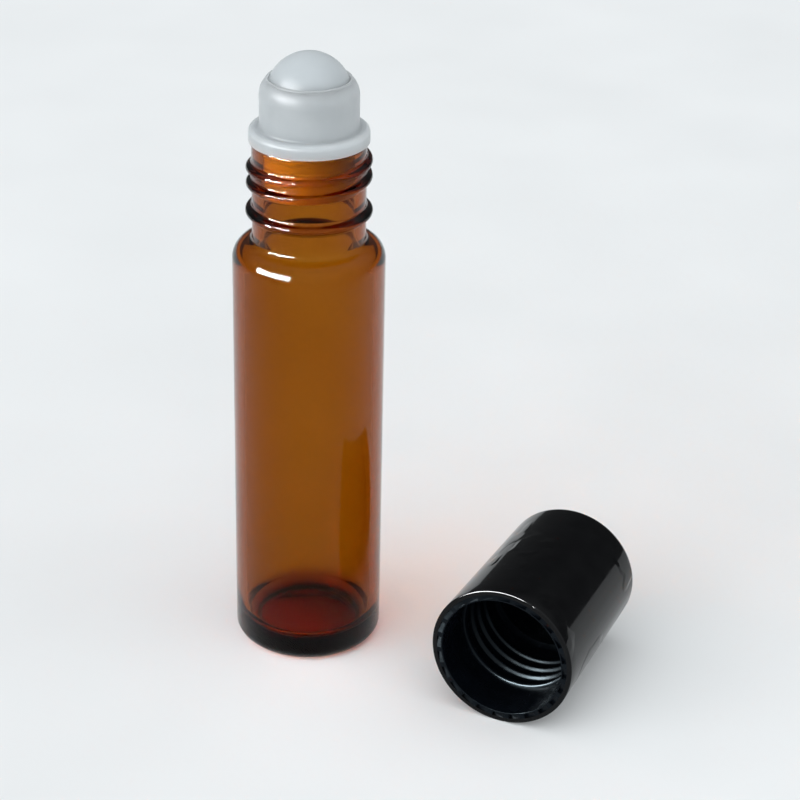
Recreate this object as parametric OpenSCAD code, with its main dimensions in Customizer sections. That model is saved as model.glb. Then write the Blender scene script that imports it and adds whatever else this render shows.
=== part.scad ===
// Roll-on bottle: a glass bottle, the roller insert in its neck, the ball in its cage,
// and the screw cap, which is off and lies on its side beside the bottle.
// Millimetres, +Z up, origin at the middle of the bottle's foot, on the table.

/* [Glass body] */
// Outside diameter of the body
body_d = 20; // [18.5:0.5:26]
// Height of the straight side, from the table to the start of the shoulder
side_h = 56.4; // [40:0.2:80]
// Thickness of the side wall
glass_wall = 1.45; // [1:0.05:2]
// Height of the glass floor above the table
floor_h = 2.9; // [2:0.1:5]
// Radius of the heel round the foot
heel_r = 1.8; // [0.6:0.1:2.4]
// Radius of the corner between the inside wall and the floor
floor_r = 2.2; // [0.5:0.1:3]
// Diameter of the push-up under the foot
punt_d = 14; // [10:0.5:15]
// Height of the push-up at its middle
punt_h = 0.6; // [0.3:0.1:1]
// Radius of the rounded shoulder
shoulder_r = 2.5; // [1.8:0.1:4]

/* [Neck] */
// Height of the neck above the shoulder
neck_h = 13.7; // [12:0.1:17]
// Outside diameter over the screw thread
thread_d = 16.3; // [15.8:0.1:17]
// Height of the thread above the neck's wall
thread_h = 0.75; // [0.5:0.05:1]
// Radius of the blend from the shoulder to the neck
neck_fillet_r = 0.8; // [0.3:0.1:1.2]
// How far the round bead below the thread stands out from the neck's wall
bead_out = 0.85; // [0.5:0.05:1.1]
// Radius of the bead's section
bead_r = 0.95; // [0.6:0.05:1.2]
// Height of the bead's middle above the shoulder
bead_h = 4.2; // [3.4:0.1:5.4]
// Thickness of the neck's wall, from the bore to the root of the thread
neck_wall = 1.45; // [1.1:0.05:1.8]
// Radius of the blend from the bore to the inside of the shoulder
bore_blend_r = 3.2; // [1:0.1:4]
// Radius of the edges of the sealing face at the top
land_r = 0.4; // [0.2:0.05:0.6]

/* [Roller housing] */
// Length of the plug inside the neck
plug_len = 6.5; // [5.5:0.1:9]
// Thickness of the plug's wall
plug_wall = 0.9; // [0.6:0.05:1.2]
// Gap between the plug's wall and the bore
plug_gap = 0.16; // [0.08:0.02:0.3]
// Gap between the sealing rings and the bore
ring_gap = 0.03; // [0.01:0.01:0.06]
// Number of sealing rings round the plug
ring_count = 3; // [1:1:4]
// Radius of a sealing ring's section
ring_r = 0.35; // [0.25:0.05:0.5]
// Distance from one sealing ring to the next
ring_pitch = 1.3; // [1:0.1:1.5]
// Radius of the plug's leading edge
plug_lead_r = 0.5; // [0.2:0.05:0.55]
// Thickness of the flange on the glass
flange_t = 1.75; // [1.2:0.05:2.5]
// Radius of the flange's upper edge
flange_r = 0.6; // [0.3:0.05:1]
// Width of the flange's step round the cage
flange_step = 1.37; // [1.1:0.01:1.6]
// Thickness of the cage's wall beside the ball's middle
cage_wall = 0.84; // [0.6:0.02:1.1]
// Radius of the blend from the flange to the cage
cage_fillet_r = 0.4; // [0.2:0.05:0.8]
// Height of the ball's middle above the flange
ball_h = 4.3; // [3.8:0.05:5]
// Height of the cage's lip above the ball's middle
lip_h = 2.25; // [1.5:0.05:2.8]
// Thickness of the cage's lip
lip_t = 0.45; // [0.3:0.05:0.6]
// Thickness of the seat under the ball
seat_t = 0.75; // [0.5:0.05:1]
// Diameter of the feed hole in the seat
feed_d = 5.2; // [4:0.1:6.5]

/* [Ball] */
// Gap between the ball and its cage
ball_gap = 0.06; // [0.02:0.01:0.1]

/* [Cap] */
// Thickness of the wall at the mouth
cap_wall = 1.45; // [1.2:0.05:2.2]
// How much the radius narrows from the mouth to the closed end
cap_draft = 0.5; // [0.1:0.05:0.9]
// Radius of the edge of the closed end
cap_end_r = 1.2; // [0.5:0.1:2]
// Thickness of the closed end
cap_top_t = 1.6; // [1.2:0.1:2]
// Gap between the top of the ball and the closed end when the cap is screwed home
end_gap = 0.85; // [0.4:0.05:3]
// Radius of the rim's outer edge
rim_r = 0.3; // [0.1:0.05:0.5]
// Gap between the cap's plain bore and the top of the neck's thread
skirt_gap = 0.2; // [0.1:0.05:0.4]
// Depth of the plain bore, from the rim to the thread
skirt_depth = 6.7; // [5:0.1:8]
// Height of the sloping ledge where the thread starts
ledge_h = 0.4; // [0.2:0.05:0.8]
// Gap between the top of the cap's thread and the neck's wall
crest_gap = 0.42; // [0.3:0.02:0.6]
// Length of the threaded bore
cap_thread_len = 9.8; // [7:0.1:11]
// Gap between the bore above the thread and the cage
cage_room = 0.95; // [0.5:0.05:1.2]
// Gap between the flange and the top of the cap's thread
flange_gap = 0.05; // [0.03:0.01:0.3]
// Gap between the rim and the shoulder when the cap is screwed home
seat_gap = 1.2; // [0.4:0.1:2]
// Outside diameter of the ring that presses on the ball
seal_d = 7; // [5:0.2:8]
// Thickness of that ring
seal_t = 0.8; // [0.5:0.1:1.2]
// Gap between that ring and the ball when the cap is screwed home
seal_gap = 0.05; // [0.02:0.01:0.1]

/* [Ratchet pockets in the rim] */
// Number of pockets round the rim
ratchet_count = 24; // [12:1:30]
// Width of a pocket across the rim
ratchet_w = 0.6; // [0.3:0.05:0.8]
// Depth of a pocket at its steep end
ratchet_depth = 0.45; // [0.2:0.05:0.7]
// Width of the land between the bore and the pockets
ratchet_land = 0.2; // [0.1:0.05:0.3]
// Share of the pitch that a pocket takes
ratchet_share = 0.68; // [0.4:0.02:0.8]

/* [Where the cap lies] */
// Gap between the bottle's side and the cap's side
cap_side_gap = 13.3; // [2:0.1:40]
// Distance from the rim forward of the bottle's middle
cap_forward = 10.3; // [-5:0.1:20]

/* [Hidden] */
$fn = 96;
overrun = 1;

body_r = body_d / 2;
neck_r = thread_d / 2 - thread_h;
bore_r = neck_r - neck_wall;
shoulder_top = side_h + shoulder_r;
shoulder_x = body_r - shoulder_r;
land_z = shoulder_top + neck_h;
bead_z = shoulder_top + bead_h;
inner_shoulder_r = max(shoulder_r - glass_wall, land_r);
inner_shoulder_top = side_h + inner_shoulder_r;

plug_r = bore_r - plug_gap;
channel_r = plug_r - plug_wall;
crest_r = neck_r + crest_gap;
flange_outer_r = crest_r - flange_gap;
flange_top = land_z + flange_t;
cage_r = flange_outer_r - flange_step;
pocket_r = cage_r - cage_wall;
ball_r = pocket_r - ball_gap;
ball_z = flange_top + ball_h;
lip_z = ball_z + lip_h;
lip_inner_r = sqrt(pow(pocket_r, 2) - pow(lip_h, 2));
seat_bottom = ball_z - pocket_r - seat_t;

closed_rim_z = shoulder_top + seat_gap;
cap_len = ball_z + ball_r + end_gap + cap_top_t - closed_rim_z;
skirt_r = thread_d / 2 + skirt_gap;
cap_r = skirt_r + cap_wall;
cap_tilt = atan(cap_draft / cap_len);
cap_floor = cap_len - cap_top_t;
crown_r = cage_r + cage_room;
seal_r = seal_d / 2;
seal_tip = ball_z + sqrt(pow(ball_r, 2) - pow(seal_r - seal_t, 2)) + seal_gap - closed_rim_z;

// Radius of the cap's side at a height above its rim
function cap_side(height) = cap_r - cap_draft * height / cap_len;

// Upright bar of the half section, from the axis out to a radius
module bar(radius, low, high) {
    translate([0, low])
        square([radius, high - low]);
}

// Round spot of the half section
module spot(x, z, radius) {
    translate([x, z])
        circle(radius);
}

// Blend from an upright wall down to a shoulder, whose edge is an arc about arc_x and arc_z
module shoulder_blend(wall_x, blend_r, arc_x, arc_z, arc_r) {
    blend_x = wall_x + blend_r;
    foot_x = min(arc_x, blend_x);
    blend_z = arc_z + sqrt(pow(arc_r + blend_r, 2) - pow(blend_x - foot_x, 2));

    difference() {
        polygon([[0, arc_z], [foot_x, arc_z], [blend_x, blend_z], [0, blend_z]]);
        spot(blend_x, blend_z, blend_r);
    }
}

// The glass from outside, without the screw thread: foot, side, shoulder, neck and bead
module glass_outline() {
    bar(body_r - heel_r, 0, heel_r);
    spot(body_r - heel_r, heel_r, heel_r);
    bar(body_r, heel_r, side_h);
    bar(shoulder_x, side_h, shoulder_top);
    spot(shoulder_x, side_h, shoulder_r);
    bar(neck_r, side_h, land_z - land_r);
    bar(neck_r - land_r, side_h, land_z);
    spot(neck_r - land_r, land_z - land_r, land_r);
    spot(neck_r + bead_out - bead_r, bead_z, bead_r);
    shoulder_blend(neck_r, neck_fillet_r, shoulder_x, side_h, shoulder_r);
}

// The space inside the glass: body, inner shoulder, bore and its rounded mouth
module glass_space() {
    inner_r = body_r - glass_wall;

    bar(inner_r - floor_r, floor_h, side_h);
    spot(inner_r - floor_r, floor_h + floor_r, floor_r);
    bar(inner_r, floor_h + floor_r, side_h);
    bar(inner_r - inner_shoulder_r, side_h, inner_shoulder_top);
    spot(inner_r - inner_shoulder_r, side_h, inner_shoulder_r);
    bar(bore_r, side_h, land_z + overrun);
    shoulder_blend(bore_r, bore_blend_r, inner_r - inner_shoulder_r, side_h, inner_shoulder_r);
    difference() {
        bar(bore_r + land_r, land_z - land_r, land_z + overrun);
        spot(bore_r + land_r, land_z - land_r, land_r);
    }
}

// The shallow dome under the foot, a slice of a large sphere
module punt_space() {
    punt_r = punt_d / 2;
    dome_r = (pow(punt_r, 2) + pow(punt_h, 2)) / (2 * punt_h);

    intersection() {
        spot(0, punt_h - dome_r, dome_r);
        bar(punt_r, -overrun, punt_h + overrun);
    }
}

module bottle() {
    color([0.45, 0.22, 0.03, 0.7])
        rotate_extrude()
            difference() {
                glass_outline();
                glass_space();
                punt_space();
            }
}

// Plug with its rounded lead-in and sealing rings
module plug_outline() {
    plug_bottom = land_z - plug_len;

    bar(plug_r - plug_lead_r, plug_bottom, land_z);
    spot(plug_r - plug_lead_r, plug_bottom + plug_lead_r, plug_lead_r);
    bar(plug_r, plug_bottom + plug_lead_r, land_z);
    for (i = [1:ring_count])
        spot(bore_r - ring_gap - ring_r, land_z - i * ring_pitch, ring_r);
}

// Flange that rests on the glass, rounded on its upper edge
module flange_outline() {
    bar(flange_outer_r, land_z, flange_top - flange_r);
    spot(flange_outer_r - flange_r, flange_top - flange_r, flange_r);
    bar(flange_outer_r - flange_r, land_z, flange_top);
}

// Cage from outside: straight up to the ball's middle, then drawn in to a rounded lip
module cage_outline() {
    lip_mid_z = lip_z - lip_t / 2;
    lip_outer_r = lip_inner_r + lip_t;
    draw_in = cage_r - lip_outer_r;
    rise = lip_mid_z - ball_z;
    crown_arc_r = (pow(draw_in, 2) + pow(rise, 2)) / (2 * draw_in);

    bar(cage_r, land_z, ball_z);
    intersection() {
        spot(cage_r - crown_arc_r, ball_z, crown_arc_r);
        bar(cage_r, ball_z, lip_mid_z);
    }
    spot(lip_inner_r + lip_t / 2, lip_mid_z, lip_t / 2);
    shoulder_blend(cage_r, cage_fillet_r, flange_outer_r - flange_r, flange_top - flange_r, flange_r);
}

module roller_housing() {
    color([0.82, 0.84, 0.84])
        rotate_extrude()
            difference() {
                union() {
                    plug_outline();
                    flange_outline();
                    cage_outline();
                }
                bar(channel_r, land_z - plug_len - overrun, seat_bottom);
                bar(feed_d / 2, seat_bottom - overrun, ball_z);
                intersection() {
                    spot(0, ball_z, pocket_r);
                    bar(pocket_r, ball_z - pocket_r, ball_z + pocket_r);
                }
            }
}

module roller_ball() {
    color([0.78, 0.81, 0.82])
        translate([0, 0, ball_z])
            sphere(ball_r);
}

// The cap from outside, rim at zero, drawn in a little towards the closed end
module cap_outline() {
    end_z = cap_len - cap_end_r;
    rim_x = cap_side(rim_r);
    end_x = cap_side(end_z);

    bar(rim_x - rim_r, 0, rim_r);
    spot(rim_x - rim_r, rim_r, rim_r);
    polygon([[0, rim_r], [rim_x, rim_r], [end_x, end_z], [0, end_z]]);
    spot(end_x - cap_end_r, end_z, cap_end_r);
    bar(end_x - cap_end_r, end_z, cap_len);
}

// The space inside the cap: plain bore, sloping ledge, threaded bore and crown
module cap_space() {
    thread_end = skirt_depth + cap_thread_len;
    ledge_top = skirt_depth + ledge_h;

    bar(skirt_r, -overrun, skirt_depth);
    polygon([[0, skirt_depth], [skirt_r, skirt_depth], [crest_r, ledge_top], [0, ledge_top]]);
    bar(crest_r, skirt_depth, thread_end);
    bar(crown_r, skirt_depth, cap_floor);
}

// Ring under the closed end, which holds the ball down on its seat
module seal_outline() {
    translate([seal_r - seal_t, 0])
        bar(seal_t, seal_tip + seal_t / 2, cap_floor + overrun);
    spot(seal_r - seal_t / 2, seal_tip + seal_t / 2, seal_t / 2);
}

// One ramped pocket, from the rim's face down to a steep end
module ratchet_pocket() {
    inner_r = skirt_r + ratchet_land;
    run = 2 * PI * (inner_r + ratchet_w / 2) * ratchet_share / ratchet_count;

    translate([inner_r, 0, 0])
        rotate([90, 0, 90])
            linear_extrude(ratchet_w)
                polygon([[-run / 2, -overrun], [run / 2, -overrun], [run / 2, ratchet_depth], [-run / 2, 0]]);
}

// The cap standing on its rim
module cap_upright() {
    difference() {
        rotate_extrude() {
            difference() {
                cap_outline();
                cap_space();
            }
            seal_outline();
        }
        for (i = [0:ratchet_count - 1])
            rotate([0, 0, i * 360 / ratchet_count])
                ratchet_pocket();
    }
}

// The cap lies along Y, on its side line, with its mouth towards -Y
module cap() {
    color([0.03, 0.03, 0.035])
        translate([body_r + cap_side_gap + cap_r, -cap_forward, cap_r * cos(cap_tilt)])
            rotate([-90 - cap_tilt, 0, 0])
                cap_upright();
}

bottle();
roller_housing();
roller_ball();
cap();
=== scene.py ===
import math

import bmesh
import bpy
from mathutils import Matrix, Vector, noise


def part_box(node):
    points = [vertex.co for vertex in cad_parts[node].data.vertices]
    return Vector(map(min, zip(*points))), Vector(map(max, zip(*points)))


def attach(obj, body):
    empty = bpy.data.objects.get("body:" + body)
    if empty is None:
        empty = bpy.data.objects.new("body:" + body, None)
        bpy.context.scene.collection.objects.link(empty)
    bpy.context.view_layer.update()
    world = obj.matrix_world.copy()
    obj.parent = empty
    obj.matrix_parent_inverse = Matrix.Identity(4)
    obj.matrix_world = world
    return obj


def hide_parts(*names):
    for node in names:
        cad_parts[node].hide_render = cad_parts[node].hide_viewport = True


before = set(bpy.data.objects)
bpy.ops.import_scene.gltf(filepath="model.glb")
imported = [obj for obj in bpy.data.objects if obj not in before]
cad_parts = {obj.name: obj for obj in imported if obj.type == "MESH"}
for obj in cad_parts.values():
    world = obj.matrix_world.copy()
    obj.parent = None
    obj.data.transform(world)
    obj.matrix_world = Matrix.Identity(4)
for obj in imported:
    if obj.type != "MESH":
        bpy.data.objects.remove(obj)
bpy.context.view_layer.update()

# Roll-on bottle: amber glass with its screw thread, the roller insert, the ball, and the black cap with its
# thread and ratchet rim. The glass and the cap are new pieces, because they carry threads; the insert and
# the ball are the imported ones. Lengths are metres, written as millimetres times MM.
MM = 0.001

# The glass, outside
BODY_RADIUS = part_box("bottle")[1].x
LAND_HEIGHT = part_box("bottle")[1].z
SIDE_HEIGHT = 56.4 * MM
HEEL_ROUND = 1.8 * MM
SHOULDER_ROUND = 2.5 * MM
NECK_RADIUS = 7.4 * MM
NECK_BLEND = 0.8 * MM
LAND_ROUND = 0.4 * MM
PUNT_RADIUS = 7 * MM
PUNT_HEIGHT = 0.6 * MM

# The glass, inside
WALL = 1.45 * MM
FLOOR_HEIGHT = 2.9 * MM
FLOOR_ROUND = 2.2 * MM
BORE_RADIUS = 5.95 * MM
BORE_BLEND = 3.2 * MM

# Waves in the blown inside of the glass: how many to a metre, and how far they move the wall and the floor.
# They take in points this near the inner wall, and near the axis they move the floor up and down only.
WALL_WAVES = 90
WALL_SWELL = 0.07 * MM
FLOOR_WAVES = 160
FLOOR_SWELL = 0.25 * MM
WAVE_REACH = 0.1 * MM
STILL_RADIUS = 1 * MM

# Bead and screw thread of the neck
BEAD_HEIGHT = 63.1 * MM
BEAD_OUT = 0.85 * MM
THREAD_PITCH = 2.117 * MM
THREAD_OUT = 0.75 * MM
RIDGE_CREST = 0.5 * MM
RIDGE_FOOT = 0.45 * MM
RIDGE_FLANK = math.radians(66)
THREAD_START = 66.32 * MM
THREAD_START_ANGLE = math.radians(116)
THREAD_TURNS = 1.98
THREAD_FADE = 0.11
RIDGES_LOW = 61.8 * MM

# The cap, measured from its rim
CAP_LENGTH = 26.5 * MM
CAP_RADIUS = 9.8 * MM
CAP_DRAFT = 0.5 * MM
CAP_END_ROUND = 1.2 * MM
CAP_FLOOR = 24.9 * MM
RIM_ROUND = 0.2 * MM
RIM_INNER_ROUND = 0.06 * MM
SKIRT_RADIUS = 8.35 * MM
SKIRT_DEPTH = 6.7 * MM
CROWN_RADIUS = 7.35 * MM
CROWN_SLOPE = 0.6 * MM
SEAL_RADIUS = 3.5 * MM
SEAL_WIDTH = 0.8 * MM
SEAL_TIP = 23.39 * MM

# Faces nearer to the top of the closed end than this are never the cap's inside
END_DEPTH = 0.2 * MM

# The dimple that the moulding gate leaves in the cap's closed end
GATE_RADIUS = 0.8 * MM
GATE_FLOOR_RADIUS = 0.5 * MM
GATE_DEPTH = 0.12 * MM

# Ledge and thread inside the cap; the thread's turns stop a little short of where its wall ends
LEDGE_DEPTH = 0.4 * MM
LEDGE_LENGTH = 0.2 * MM
LEDGE_END = 0.7 * MM
CAP_THREAD_IN = 0.53 * MM
CAP_CREST = 0.16 * MM
CAP_FOOT = 0.16 * MM
CAP_FLANK = math.radians(52)
CAP_ROOT_IN = 0.45 * MM
CAP_ROOT_CURVE = 4
CAP_THREAD_LOW = 0.3 * MM
CAP_THREAD_END = 16.5 * MM
CAP_THREAD_ANGLE = math.radians(60)
CAP_THREAD_FADE = 0.1
CAP_TURNS_SHORT = 0.4

# Where the cap lies
CAP_AXIS_X = 33.1 * MM
CAP_MOUTH_Y = -10.3 * MM

# Ratchet pockets in the rim
POCKETS = 24
POCKET_INNER = 8.55 * MM
POCKET_OUTER = 9.15 * MM
POCKET_DEPTH = 0.45 * MM
STEPS_PER_POCKET = 10
POCKET_STEPS = 7

# How finely the round pieces are turned: a sector is spun, and doubled until it closes
DOUBLINGS = 4
GLASS_STEPS = 256
CAP_STEPS = POCKETS * STEPS_PER_POCKET

# Steps of an arc in a half section
RIM_INNER_ARC = 3
SMALL_ARC = 6
BLEND_ARC = 8
CORNER_ARC = 10
INNER_SHOULDER_ARC = 12
SHOULDER_ARC = 20

# How far apart the rows of points on a wall lie, and the rings on the floor as shares of its radius
WALL_ROW = 2 * MM
BORE_ROW = 1 * MM
NECK_FOOT_ROW = 0.5 * MM
NECK_ROW = 0.06 * MM
CAP_THREAD_ROW = 0.08 * MM
FLOOR_RINGS = (0.6, 0.4, 0.2, 0)

# Points this close are one point, edges this short go, and a point this near a wall lies on it
SAME_POINT = 0.001 * MM
SHORTEST_EDGE = 0.0005 * MM
ON_WALL = 0.01 * MM

# Corners sharper than this, in degrees, stay crisp: those of the pockets, and those of the whole cap
POCKET_CORNER = 8
CAP_CORNER = 35

# Nearly all of a noise pattern lies between these two values
NOISE_LOW = 0.3
NOISE_HIGH = 0.7

# Amber glass: a thin tint where light enters or leaves, and the colour that it gains on its way
GLASS_TINTS = ((0.78, 0.78, 0.48), (0.82, 0.82, 0.54))
GLASS_ROUGHNESS = (0, 0.03)
GLASS_IOR = 1.52
GLASS_HEAD_ON_SHINE = (0.15, 0.15, 0.15, 1)
GLASS_DEPTH_COLOUR = (0.87, 0.665, 0.15, 1)
GLASS_DEPTH_DENSITY = 2000

# Natural plastic of the insert, whose plug lets light straight through, and of the ball. The plug's colour is
# lighter than the rest of the insert: partly its clear tint, partly painted light for the light that reaches
# it through the glass
INSERT_TONES = ((0.405, 0.425, 0.438), (0.445, 0.465, 0.475))
INSERT_RELIEF = 0.01 * MM
PLUG_CLEAR_AND_PAINTED_LIGHT_COLOUR = (0.86, 0.86, 0.84, 1)
PLUG_CLEARNESS_AND_PAINTED_LIGHT = 0.8
PLUG_EDGE = 0.2 * MM
BALL_TONES = ((0.43, 0.455, 0.47), (0.46, 0.485, 0.50))
BALL_RELIEF = 0.003 * MM
MILKY_REACH = 4 * MM
MILKY_SHINE = 0.035
MILKY_ROUGHNESS = (0.34, 0.46)

# Black plastic: polished and slightly smeared outside, satin inside
CAP_TONES = ((0.0015, 0.0016, 0.002), (0.003, 0.0031, 0.0036))
CAP_ROUGHNESS = (0.05, 0.12)
CAP_IOR = 1.23
SMEAR_EDGE = (0.57, 0.62)
SMEAR_STRETCH = (1, 0.55, 1)
SMEAR_DEPTH = 0.07 * MM
CAP_INSIDE_TONES = ((0.0012, 0.0018, 0.003), (0.002, 0.003, 0.005))
CAP_INSIDE_ROUGHNESS = (0.2, 0.3)
CAP_INSIDE_IOR = 1.16
CAP_INSIDE_SHINE = (0.75, 0.92, 1, 1)
CAP_INSIDE_RELIEF = 0.01 * MM

# Floor
FLOOR_TONES = ((0.80, 0.80, 0.80), (0.84, 0.84, 0.84))
FLOOR_ROUGHNESS = 0.8
FLOOR_REACH = 5

# The window, in degrees from +X and above the floor, and the point that its lamps shine at
WINDOW_AZIMUTH = -122
WINDOW_ELEVATION = 22
WINDOW_COLOUR = (0.93, 0.97, 1)
GLINT_COLOUR = (0.96, 0.98, 1)
LIT_POINT = (0.01, 0, 0.04)

# The sky, brightest high up on the window's side
SKY_SIDE = (0.35, -0.55, 0.757)
SKY_BAND = (-0.05, 0.8)
SKY_DARK = 0.12
SKY_BRIGHT = 1.45
SKY_COLOUR = (0.94, 0.98, 1, 1)

# The camera stands where the photograph was taken from
CAMERA_PLACE = (122.95 * MM, -250.68 * MM, 178.17 * MM)
CAMERA_PITCH = math.radians(27.059)
CAMERA_HEADING = math.radians(23.609)
CAMERA_ROLL = math.radians(1.282)
CAMERA_LENS = 104.966
CAMERA_SENSOR = 36
CAMERA_NEAR = 0.01


def arc(middle, radius, start, end, steps):
    """Points of an arc in the half section, from one angle to another in degrees"""
    angles = [math.radians(start + (end - start) * i / steps) for i in range(steps + 1)]
    return [(middle[0] + radius * math.cos(a), middle[1] + radius * math.sin(a)) for a in angles]


def rows(radius, low, high, spacing):
    """Points up or down an upright wall, evenly spaced, without its two ends"""
    count = max(1, round(abs(high - low) / spacing))
    return [(radius, low + (high - low) * i / count) for i in range(1, count)]


def turned(outline, steps):
    """A closed round piece from a half section that starts and ends on the axis"""
    piece = bmesh.new()
    points = [piece.verts.new((r, 0, z)) for r, z in outline]
    edges = [piece.edges.new(pair) for pair in zip(points, points[1:])]
    sectors = 2 ** DOUBLINGS
    sector = math.tau / sectors
    bmesh.ops.spin(piece, geom=points + edges, axis=(0, 0, 1), angle=sector, steps=steps // sectors)
    for _ in range(DOUBLINGS):
        copied = bmesh.ops.duplicate(piece, geom=piece.verts[:] + piece.edges[:] + piece.faces[:])["geom"]
        moved = [item for item in copied if isinstance(item, bmesh.types.BMVert)]
        bmesh.ops.rotate(piece, matrix=Matrix.Rotation(sector, 3, "Z"), verts=moved)
        sector *= 2
    bmesh.ops.remove_doubles(piece, verts=piece.verts, dist=SAME_POINT)
    bmesh.ops.recalc_face_normals(piece, faces=piece.faces)
    return piece


def in_scene(name, data):
    """An object of a mesh, a lamp or a camera, put in the scene"""
    made = bpy.data.objects.new(name, data)
    bpy.context.scene.collection.objects.link(made)
    return made


def new_piece(piece, name, material):
    """An object of a shape that is ready, in its material"""
    data = bpy.data.meshes.new(name)
    piece.to_mesh(data)
    piece.free()
    data.materials.append(material)
    return in_scene(name, data)


def finished(piece, name, body, node, material):
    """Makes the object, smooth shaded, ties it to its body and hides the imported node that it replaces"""
    made = new_piece(piece, name, material)
    made.data.shade_smooth()
    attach(made, body)
    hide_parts(node)
    return made


def ridge(distance, height, crest, foot, flank):
    """Height of a ridge above its wall: a round crest, straight flanks and a hollow foot"""
    crest_run = crest * math.sin(flank)
    crest_drop = crest * (1 - math.cos(flank))
    foot_rise = foot * (1 - math.cos(flank))
    flank_end = crest_run + (height - crest_drop - foot_rise) / math.tan(flank)
    away = abs(distance)
    if away < crest_run:
        return height - crest + math.sqrt(crest * crest - away * away)
    if away < flank_end:
        return height - crest_drop - (away - crest_run) * math.tan(flank)
    left = flank_end + foot * math.sin(flank) - away
    return foot - math.sqrt(foot * foot - left * left) if left > 0 else 0


def neck_ridge(distance, height):
    """Height of the bead or of the neck's thread, which share one section"""
    return ridge(distance, height, RIDGE_CREST, RIDGE_FOOT, RIDGE_FLANK)


def thread(angle, height, start_angle, start, turns, fade):
    """Distance to the nearest turn of a right-hand thread, and how far the thread has risen there"""
    part = ((angle - start_angle) % math.tau) / math.tau
    turn = part + round((height - start) / THREAD_PITCH - part)
    if turn < 0:
        turn += 1
    if turn > turns:
        turn -= 1
    if not 0 <= turn <= turns:
        return THREAD_PITCH, 0
    end = min(turn, turns - turn) / fade
    rise = 1 if end > 1 else end * end * (3 - 2 * end)
    return height - start - turn * THREAD_PITCH, rise


def move_out(point, distance):
    """Moves a point away from the axis"""
    radius = math.hypot(point.co.x, point.co.y)
    point.co.x *= 1 + distance / radius
    point.co.y *= 1 + distance / radius


def glass_outline():
    """Half section of the glass: foot, side, shoulder and neck outside, then bore, wall and floor inside"""
    shoulder = (BODY_RADIUS - SHOULDER_ROUND, SIDE_HEIGHT)
    blend_r = NECK_RADIUS + NECK_BLEND
    rise = math.sqrt((SHOULDER_ROUND + NECK_BLEND) ** 2 - (blend_r - shoulder[0]) ** 2)
    blend = (blend_r, SIDE_HEIGHT + rise)
    lean = math.degrees(math.atan2(rise, blend_r - shoulder[0]))

    inner_round = SHOULDER_ROUND - WALL
    inner_radius = BODY_RADIUS - WALL
    inner_shoulder = (inner_radius - inner_round, SIDE_HEIGHT)
    inner_blend_r = BORE_RADIUS + BORE_BLEND
    inner_rise = math.sqrt((inner_round + BORE_BLEND) ** 2 - (inner_blend_r - inner_shoulder[0]) ** 2)
    inner_blend = (inner_blend_r, SIDE_HEIGHT + inner_rise)
    inner_lean = math.degrees(math.atan2(inner_rise, inner_blend_r - inner_shoulder[0]))

    dome = (PUNT_RADIUS ** 2 + PUNT_HEIGHT ** 2) / (2 * PUNT_HEIGHT)
    dome_edge = math.degrees(math.asin(PUNT_RADIUS / dome))
    land_z = LAND_HEIGHT - LAND_ROUND
    floor_z = FLOOR_HEIGHT + FLOOR_ROUND

    outline = arc((0, PUNT_HEIGHT - dome), dome, 90, 90 - dome_edge, BLEND_ARC)
    outline += arc((BODY_RADIUS - HEEL_ROUND, HEEL_ROUND), HEEL_ROUND, -90, 0, CORNER_ARC)
    outline += rows(BODY_RADIUS, HEEL_ROUND, SIDE_HEIGHT, WALL_ROW)
    outline += arc(shoulder, SHOULDER_ROUND, 0, lean, SHOULDER_ARC)
    outline += arc(blend, NECK_BLEND, lean + 180, 180, BLEND_ARC)[1:]
    outline += rows(NECK_RADIUS, blend[1], RIDGES_LOW, NECK_FOOT_ROW)
    outline += [(NECK_RADIUS, RIDGES_LOW)]
    outline += rows(NECK_RADIUS, RIDGES_LOW, land_z, NECK_ROW)
    outline += arc((NECK_RADIUS - LAND_ROUND, land_z), LAND_ROUND, 0, 90, SMALL_ARC)
    outline += arc((BORE_RADIUS + LAND_ROUND, land_z), LAND_ROUND, 90, 180, SMALL_ARC)
    outline += rows(BORE_RADIUS, land_z, inner_blend[1], BORE_ROW)
    outline += arc(inner_blend, BORE_BLEND, 180, 180 + inner_lean, BLEND_ARC)
    outline += arc(inner_shoulder, inner_round, inner_lean, 0, INNER_SHOULDER_ARC)[1:]
    outline += rows(inner_radius, SIDE_HEIGHT, floor_z, WALL_ROW)
    outline += arc((inner_radius - FLOOR_ROUND, floor_z), FLOOR_ROUND, 0, -90, BLEND_ARC)
    outline += [(inner_radius * share, FLOOR_HEIGHT) for share in FLOOR_RINGS]
    return outline


def raise_neck_ridges(glass):
    """Raises the bead and the screw thread on the neck"""
    for point in glass.verts:
        radius = math.hypot(point.co.x, point.co.y)
        if abs(radius - NECK_RADIUS) > ON_WALL or point.co.z < SIDE_HEIGHT:
            continue
        angle = math.atan2(point.co.y, point.co.x)
        offset, rise = thread(angle, point.co.z, THREAD_START_ANGLE, THREAD_START, THREAD_TURNS, THREAD_FADE)
        thread_out = rise * neck_ridge(offset, THREAD_OUT)
        bead_out = neck_ridge(point.co.z - BEAD_HEIGHT, BEAD_OUT)
        move_out(point, max(thread_out, bead_out))


def wave_inside(glass):
    """Gives the blown inside of the glass its uneven wall and floor"""
    for point in glass.verts:
        radius = math.hypot(point.co.x, point.co.y)
        if radius > BODY_RADIUS - WALL + WAVE_REACH:
            continue
        if not FLOOR_HEIGHT - WAVE_REACH < point.co.z < SIDE_HEIGHT:
            continue
        swell = noise.noise(point.co * WALL_WAVES) * WALL_SWELL
        if radius > STILL_RADIUS:
            move_out(point, swell)
        if point.co.z < FLOOR_HEIGHT + FLOOR_ROUND:
            point.co.z += noise.noise(point.co * FLOOR_WAVES) * FLOOR_SWELL


def make_bottle(material):
    """The bottle: body, neck, thread and bore in one piece of glass"""
    glass = turned(glass_outline(), GLASS_STEPS)
    raise_neck_ridges(glass)
    wave_inside(glass)
    return finished(glass, "amber_bottle", "bottle", "bottle", material)


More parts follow.
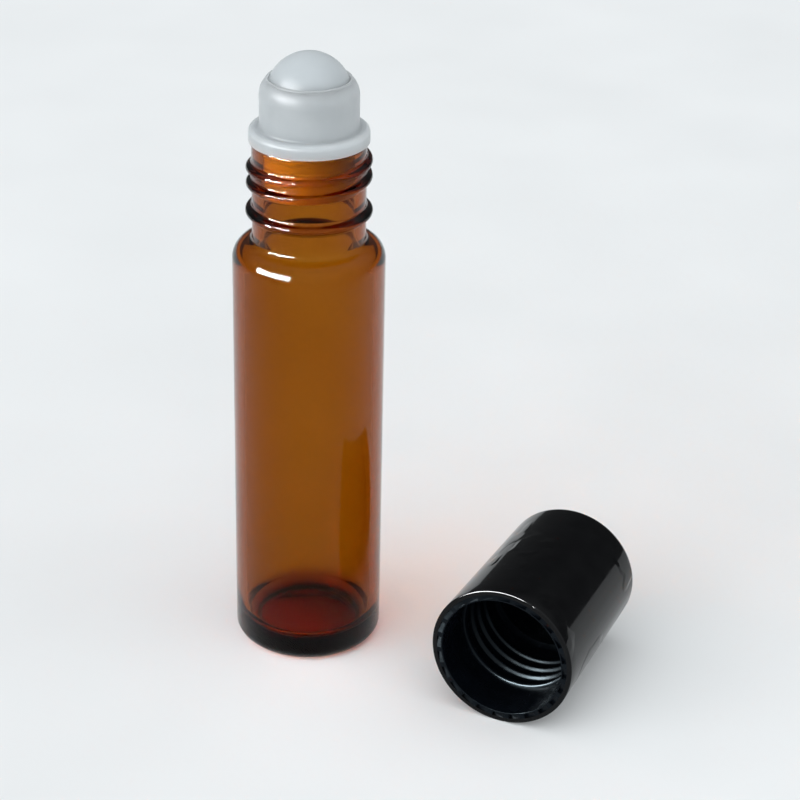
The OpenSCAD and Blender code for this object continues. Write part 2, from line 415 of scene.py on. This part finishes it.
def cap_side(height):
    """Radius of the cap's side at a height above its rim"""
    return CAP_RADIUS - CAP_DRAFT * height / CAP_LENGTH


def cap_root(height):
    """Radius between the turns of the cap's thread, which closes in towards the crown"""
    along = (height - SKIRT_DEPTH) / (CAP_THREAD_END - SKIRT_DEPTH)
    return SKIRT_RADIUS - CAP_ROOT_IN * along ** CAP_ROOT_CURVE


def cap_outline():
    """Half section of the cap, rim at zero: closed end, side and rim outside, then the bores and the ring"""
    gate_z = CAP_LENGTH - GATE_DEPTH
    end_z = CAP_LENGTH - CAP_END_ROUND
    end_corner = (cap_side(end_z) - CAP_END_ROUND, end_z)
    rim_corner = (cap_side(RIM_ROUND) - RIM_ROUND, RIM_ROUND)
    inner_rim = (SKIRT_RADIUS + RIM_INNER_ROUND, RIM_INNER_ROUND)
    crest_radius = SKIRT_RADIUS - CAP_THREAD_IN
    thread_low = SKIRT_DEPTH + LEDGE_DEPTH
    root_low = thread_low + LEDGE_END
    crown_low = CAP_THREAD_END + CROWN_SLOPE
    tip = (SEAL_RADIUS - SEAL_WIDTH / 2, SEAL_TIP + SEAL_WIDTH / 2)

    outline = [(0, gate_z), (GATE_FLOOR_RADIUS, gate_z), (GATE_RADIUS, CAP_LENGTH)]
    outline += arc(end_corner, CAP_END_ROUND, 90, 0, CORNER_ARC)
    outline += [(cap_side(z), z) for _, z in rows(0, end_z, RIM_ROUND, WALL_ROW)]
    outline += arc(rim_corner, RIM_ROUND, 0, -90, SMALL_ARC)
    outline += [(POCKET_OUTER, 0), (POCKET_INNER, 0)]
    outline += arc(inner_rim, RIM_INNER_ROUND, -90, -180, RIM_INNER_ARC)
    outline += rows(SKIRT_RADIUS, RIM_INNER_ROUND, SKIRT_DEPTH, BORE_ROW)
    outline += [(SKIRT_RADIUS, SKIRT_DEPTH)]
    outline += arc((crest_radius + LEDGE_DEPTH, thread_low), LEDGE_DEPTH, -90, -180, SMALL_ARC)
    outline += [(crest_radius, thread_low + LEDGE_LENGTH), (SKIRT_RADIUS, root_low)]
    outline += [(cap_root(z), z) for _, z in rows(0, root_low, CAP_THREAD_END, CAP_THREAD_ROW)]
    outline += [(cap_root(CAP_THREAD_END), CAP_THREAD_END), (CROWN_RADIUS, crown_low)]
    outline += rows(CROWN_RADIUS, crown_low, CAP_FLOOR, WALL_ROW)
    outline += [(CROWN_RADIUS, CAP_FLOOR), (SEAL_RADIUS, CAP_FLOOR)]
    outline += arc(tip, SEAL_WIDTH / 2, 0, -180, BLEND_ARC)
    outline += [(SEAL_RADIUS - SEAL_WIDTH, CAP_FLOOR), (0, CAP_FLOOR)]
    return outline


def raise_cap_thread(cap):
    """Raises the thread on the inside of the cap, from the ledge to its last turn"""
    low = SKIRT_DEPTH + LEDGE_DEPTH
    turns = (CAP_THREAD_END - low) / THREAD_PITCH - CAP_TURNS_SHORT
    for point in cap.verts:
        root = cap_root(point.co.z)
        radius = math.hypot(point.co.x, point.co.y)
        if abs(radius - root) > ON_WALL or not low + CAP_THREAD_LOW < point.co.z < CAP_THREAD_END:
            continue
        angle = math.atan2(point.co.y, point.co.x)
        offset, rise = thread(angle, point.co.z, CAP_THREAD_ANGLE, low, turns, CAP_THREAD_FADE)
        height = CAP_THREAD_IN - SKIRT_RADIUS + root
        move_out(point, -rise * ridge(offset, height, CAP_CREST, CAP_FOOT, CAP_FLANK))


def cut_pockets(cap):
    """Sinks the ramped pockets into the rim: level at one end, with a steep wall at the other"""
    step = math.tau / CAP_STEPS
    pitch = math.tau / POCKETS
    floors = []
    for face in cap.faces:
        middle = face.calc_center_median()
        if abs(middle.z) < SAME_POINT and POCKET_INNER < math.hypot(middle.x, middle.y) < POCKET_OUTER:
            if math.atan2(middle.y, middle.x) % pitch < POCKET_STEPS * step:
                floors.append(face)
    sunk = bmesh.ops.extrude_face_region(cap, geom=floors)["geom"]
    for point in [item for item in sunk if isinstance(item, bmesh.types.BMVert)]:
        along = (math.atan2(point.co.y, point.co.x) + step / 2) % pitch - step / 2
        point.co.z += POCKET_DEPTH * along / (POCKET_STEPS * step)
    bmesh.ops.delete(cap, geom=floors, context="FACES")
    bmesh.ops.remove_doubles(cap, verts=cap.verts, dist=SAME_POINT)
    bmesh.ops.dissolve_degenerate(cap, edges=cap.edges, dist=SHORTEST_EDGE)


def radius_of(edge):
    """Distance of an edge's middle from the axis"""
    middle = (edge.verts[0].co + edge.verts[1].co) / 2
    return math.hypot(middle.x, middle.y)


def crisp(edges, degrees):
    """Keeps the corners above an angle crisp under smooth shading"""
    for edge in edges:
        if edge.is_manifold and edge.calc_face_angle() > math.radians(degrees):
            edge.smooth = False


def crisp_corners(cap):
    """Keeps the corners of the pockets crisp, and the sharper ones of the whole cap"""
    low = [edge for edge in cap.edges if min(point.co.z for point in edge.verts) < POCKET_DEPTH + ON_WALL]
    crisp([edge for edge in low if radius_of(edge) < POCKET_OUTER + ON_WALL], POCKET_CORNER)
    crisp(cap.edges, CAP_CORNER)


def lay_down(cap):
    """Turns the cap onto its side, with the middle of a pocket downwards, and puts it beside the bottle"""
    draft = math.atan(CAP_DRAFT / CAP_LENGTH)
    half_pocket = POCKET_STEPS * math.pi / CAP_STEPS
    turn = Matrix.Rotation(-math.pi / 2 - draft, 4, "X") @ Matrix.Rotation(-half_pocket, 4, "Z")
    place = Matrix.Translation((CAP_AXIS_X, CAP_MOUTH_Y, CAP_RADIUS * math.cos(draft)))
    bmesh.ops.transform(cap, matrix=place @ turn, verts=cap.verts)


def make_cap(outside, inside):
    """The cap, made standing on its rim and then laid down; its inside, and a narrow band of the
    rounded edge of its closed end, take the second material"""
    cap = turned(cap_outline(), CAP_STEPS)
    for face in cap.faces:
        middle = face.calc_center_median()
        inner = math.hypot(middle.x, middle.y) < POCKET_OUTER and middle.z < CAP_LENGTH - END_DEPTH
        face.material_index = int(inner)
    raise_cap_thread(cap)
    cut_pockets(cap)
    crisp_corners(cap)
    lay_down(cap)
    bmesh.ops.recalc_face_normals(cap, faces=cap.faces)
    made = finished(cap, "black_cap", "cap", "cap", outside)
    made.data.materials.append(inside)
    return made


def new_finish(name):
    """A material with its tree of nodes and its surface shader"""
    finish = bpy.data.materials.new(name)
    finish.use_nodes = True
    return finish, finish.node_tree, finish.node_tree.nodes["Principled BSDF"]


def object_noise(tree, scale, detail, stretch=(1, 1, 1)):
    """Noise on the piece's own coordinates, stretched along its axes"""
    place = tree.nodes.new("ShaderNodeTexCoord")
    turn = tree.nodes.new("ShaderNodeMapping")
    turn.inputs["Scale"].default_value = stretch
    cloud = tree.nodes.new("ShaderNodeTexNoise")
    cloud.inputs["Scale"].default_value = scale
    cloud.inputs["Detail"].default_value = detail
    tree.links.new(place.outputs["Object"], turn.inputs["Vector"])
    tree.links.new(turn.outputs["Vector"], cloud.inputs["Vector"])
    return cloud.outputs["Fac"]


def between(tree, source, low, high, start=NOISE_LOW, end=NOISE_HIGH):
    """Goes from a low to a high value while the source goes from its start to its end"""
    spread = tree.nodes.new("ShaderNodeMapRange")
    spread.inputs["From Min"].default_value = start
    spread.inputs["From Max"].default_value = end
    spread.inputs["To Min"].default_value = low
    spread.inputs["To Max"].default_value = high
    tree.links.new(source, spread.inputs["Value"])
    return spread.outputs["Result"]


def by_height(tree, low, high, below, above):
    """A value that goes from one below a band of height to another above it"""
    place = tree.nodes.new("ShaderNodeTexCoord")
    parts = tree.nodes.new("ShaderNodeSeparateXYZ")
    tree.links.new(place.outputs["Object"], parts.inputs["Vector"])
    return between(tree, parts.outputs["Z"], below, above, low, high)


def two_tones(tree, source, dark, light):
    """Colours a pattern from a darker to a lighter tone"""
    tones = tree.nodes.new("ShaderNodeValToRGB")
    tones.color_ramp.elements[0].position = NOISE_LOW
    tones.color_ramp.elements[0].color = (*dark, 1)
    tones.color_ramp.elements[1].position = NOISE_HIGH
    tones.color_ramp.elements[1].color = (*light, 1)
    tree.links.new(source, tones.inputs["Fac"])
    return tones.outputs["Color"]


def mottled(tree, shader, source, tones):
    """Base colour that wanders between two tones"""
    tree.links.new(two_tones(tree, source, *tones), shader.inputs["Base Color"])


def uneven_gloss(tree, shader, source, span):
    """Roughness that wanders between two values"""
    tree.links.new(between(tree, source, *span), shader.inputs["Roughness"])


def relief(tree, shader, source, depth):
    """Small relief on a surface, as deep as the pattern says"""
    bump = tree.nodes.new("ShaderNodeBump")
    bump.inputs["Strength"].default_value = 1
    bump.inputs["Distance"].default_value = depth
    tree.links.new(source, bump.inputs["Height"])
    tree.links.new(bump.outputs["Normal"], shader.inputs["Normal"])


def amber_glass():
    """Amber glass, which darkens and reddens with the way that light takes through it"""
    finish, tree, shader = new_finish("amber_glass")
    shader.inputs["Transmission Weight"].default_value = 1
    shader.inputs["IOR"].default_value = GLASS_IOR
    shader.inputs["Specular Tint"].default_value = GLASS_HEAD_ON_SHINE
    mottled(tree, shader, object_noise(tree, scale=60, detail=2), GLASS_TINTS)
    uneven_gloss(tree, shader, object_noise(tree, scale=300, detail=3), GLASS_ROUGHNESS)
    depth = tree.nodes.new("ShaderNodeVolumeAbsorption")
    depth.inputs["Color"].default_value = GLASS_DEPTH_COLOUR
    depth.inputs["Density"].default_value = GLASS_DEPTH_DENSITY
    tree.links.new(depth.outputs["Volume"], tree.nodes["Material Output"].inputs["Volume"])
    return finish


def milky(tree, shader):
    """Natural plastic that light goes into, with a soft shine"""
    shader.inputs["Subsurface Weight"].default_value = 1
    shader.inputs["Subsurface Scale"].default_value = MILKY_REACH
    shader.inputs["Subsurface Radius"].default_value = (1, 1, 1)
    shader.inputs["Specular IOR Level"].default_value = MILKY_SHINE
    uneven_gloss(tree, shader, object_noise(tree, scale=600, detail=4), MILKY_ROUGHNESS)


def natural_plastic():
    """Milky plastic of the insert; its thin plug lets the light through, and below the flange it is painted
    lighter, partly as the clear plastic's tint and partly as painted light for the light that reaches it
    through the glass
    """
    finish, tree, shader = new_finish("natural_plastic")
    tone = two_tones(tree, object_noise(tree, scale=250, detail=3), *INSERT_TONES)
    # Below the flange the plug is clear and painted lighter: the lighter colour is partly the clear plastic's
    # tint, partly painted light for the light that reaches the plug through the glass
    clear = by_height(tree, LAND_HEIGHT - PLUG_EDGE, LAND_HEIGHT, below=PLUG_CLEARNESS_AND_PAINTED_LIGHT, above=0)
    blend = tree.nodes.new("ShaderNodeMix")
    blend.data_type = "RGBA"
    blend.inputs["B"].default_value = PLUG_CLEAR_AND_PAINTED_LIGHT_COLOUR
    tree.links.new(clear, blend.inputs["Factor"])
    tree.links.new(tone, blend.inputs["A"])
    tree.links.new(blend.outputs["Result"], shader.inputs["Base Color"])
    tree.links.new(clear, shader.inputs["Transmission Weight"])
    milky(tree, shader)
    relief(tree, shader, object_noise(tree, scale=900, detail=3), INSERT_RELIEF)
    return finish


def ball_plastic():
    """Milky plastic of the ball, smoother than the insert"""
    finish, tree, shader = new_finish("ball_plastic")
    mottled(tree, shader, object_noise(tree, scale=180, detail=3), BALL_TONES)
    milky(tree, shader)
    relief(tree, shader, object_noise(tree, scale=600, detail=2), BALL_RELIEF)
    return finish


def black_plastic():
    """Polished outside of the cap, with the faint smears that handling leaves"""
    finish, tree, shader = new_finish("black_plastic")
    mottled(tree, shader, object_noise(tree, scale=400, detail=4), CAP_TONES)
    shader.inputs["IOR"].default_value = CAP_IOR
    uneven_gloss(tree, shader, object_noise(tree, scale=350, detail=4), CAP_ROUGHNESS)
    smears = between(tree, object_noise(tree, scale=150, detail=2, stretch=SMEAR_STRETCH), 0, 1, *SMEAR_EDGE)
    relief(tree, shader, smears, SMEAR_DEPTH)
    return finish


def black_plastic_inside():
    """The moulded inside of the cap is satin, where its outside is polished"""
    finish, tree, shader = new_finish("black_plastic_inside")
    mottled(tree, shader, object_noise(tree, scale=400, detail=4), CAP_INSIDE_TONES)
    shader.inputs["IOR"].default_value = CAP_INSIDE_IOR
    shader.inputs["Specular Tint"].default_value = CAP_INSIDE_SHINE
    uneven_gloss(tree, shader, object_noise(tree, scale=500, detail=4), CAP_INSIDE_ROUGHNESS)
    relief(tree, shader, object_noise(tree, scale=900, detail=2), CAP_INSIDE_RELIEF)
    return finish


def floor_finish():
    """Matt pale floor"""
    finish, tree, shader = new_finish("pale_floor")
    mottled(tree, shader, object_noise(tree, scale=20, detail=2), FLOOR_TONES)
    shader.inputs["Roughness"].default_value = FLOOR_ROUGHNESS
    shader.inputs["Specular IOR Level"].default_value = 0
    return finish


def make_floor():
    """A floor that reaches past every view of the object"""
    slab = bmesh.new()
    bmesh.ops.create_grid(slab, x_segments=1, y_segments=1, size=FLOOR_REACH)
    floor = new_piece(slab, "floor", floor_finish())


def window_lamp(name, distance, width, height, power, colour):
    """A soft rectangular lamp on the window's side, which shines at the middle of the object"""
    lamp = bpy.data.lights.new(name, "AREA")
    lamp.shape = "RECTANGLE"
    lamp.size = width
    lamp.size_y = height
    lamp.energy = power
    lamp.color = colour
    made = in_scene(name, lamp)
    around = math.radians(WINDOW_AZIMUTH)
    above = math.radians(WINDOW_ELEVATION)
    way = Vector((math.cos(above) * math.cos(around), math.cos(above) * math.sin(around), math.sin(above)))
    made.location = Vector(LIT_POINT) + way * distance
    made.rotation_mode = "QUATERNION"
    made.rotation_quaternion = way.to_track_quat("Z", "Y")
    return made


def light_the_sky():
    """A soft sky that is brighter overhead and on the window's side"""
    world = bpy.data.worlds.new("room")
    world.use_nodes = True
    tree = world.node_tree
    place = tree.nodes.new("ShaderNodeTexCoord")
    towards = tree.nodes.new("ShaderNodeVectorMath")
    towards.operation = "DOT_PRODUCT"
    towards.inputs[1].default_value = SKY_SIDE
    tree.links.new(place.outputs["Generated"], towards.inputs[0])
    sky = between(tree, towards.outputs["Value"], SKY_DARK, SKY_BRIGHT, *SKY_BAND)
    tree.links.new(sky, tree.nodes["Background"].inputs["Strength"])
    tree.nodes["Background"].inputs["Color"].default_value = SKY_COLOUR
    bpy.context.scene.world = world


def light_the_room():
    """A wide window to the left, its glint that only shiny surfaces show, and a soft sky"""
    window_lamp("window", distance=2.4, width=2.5, height=1.1, power=20, colour=WINDOW_COLOUR)
    glint = window_lamp("window_glint", distance=2.3, width=2.4, height=1.05, power=1700, colour=GLINT_COLOUR)
    glint.visible_diffuse = False
    glint.visible_transmission = False
    light_the_sky()
    bpy.context.scene.view_settings.view_transform = "Standard"


def set_camera():
    """Camera that looks down at the pitch, turned from +Y by the heading"""
    lens = bpy.data.cameras.new("camera")
    lens.lens = CAMERA_LENS
    lens.sensor_width = CAMERA_SENSOR
    lens.clip_start = CAMERA_NEAR
    camera = in_scene("camera", lens)
    turn = Matrix.Rotation(CAMERA_HEADING, 4, "Z") @ Matrix.Rotation(math.pi / 2 - CAMERA_PITCH, 4, "X")
    place = Matrix.Translation(CAMERA_PLACE)
    camera.matrix_world = place @ turn @ Matrix.Rotation(CAMERA_ROLL, 4, "Z")
    bpy.context.scene.camera = camera


set_camera()
make_floor()
light_the_room()
make_bottle(amber_glass())
make_cap(black_plastic(), black_plastic_inside())
for node, finish in (("roller_housing", natural_plastic()), ("roller_ball", ball_plastic())):
    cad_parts[node].data.materials.clear()
    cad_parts[node].data.materials.append(finish)
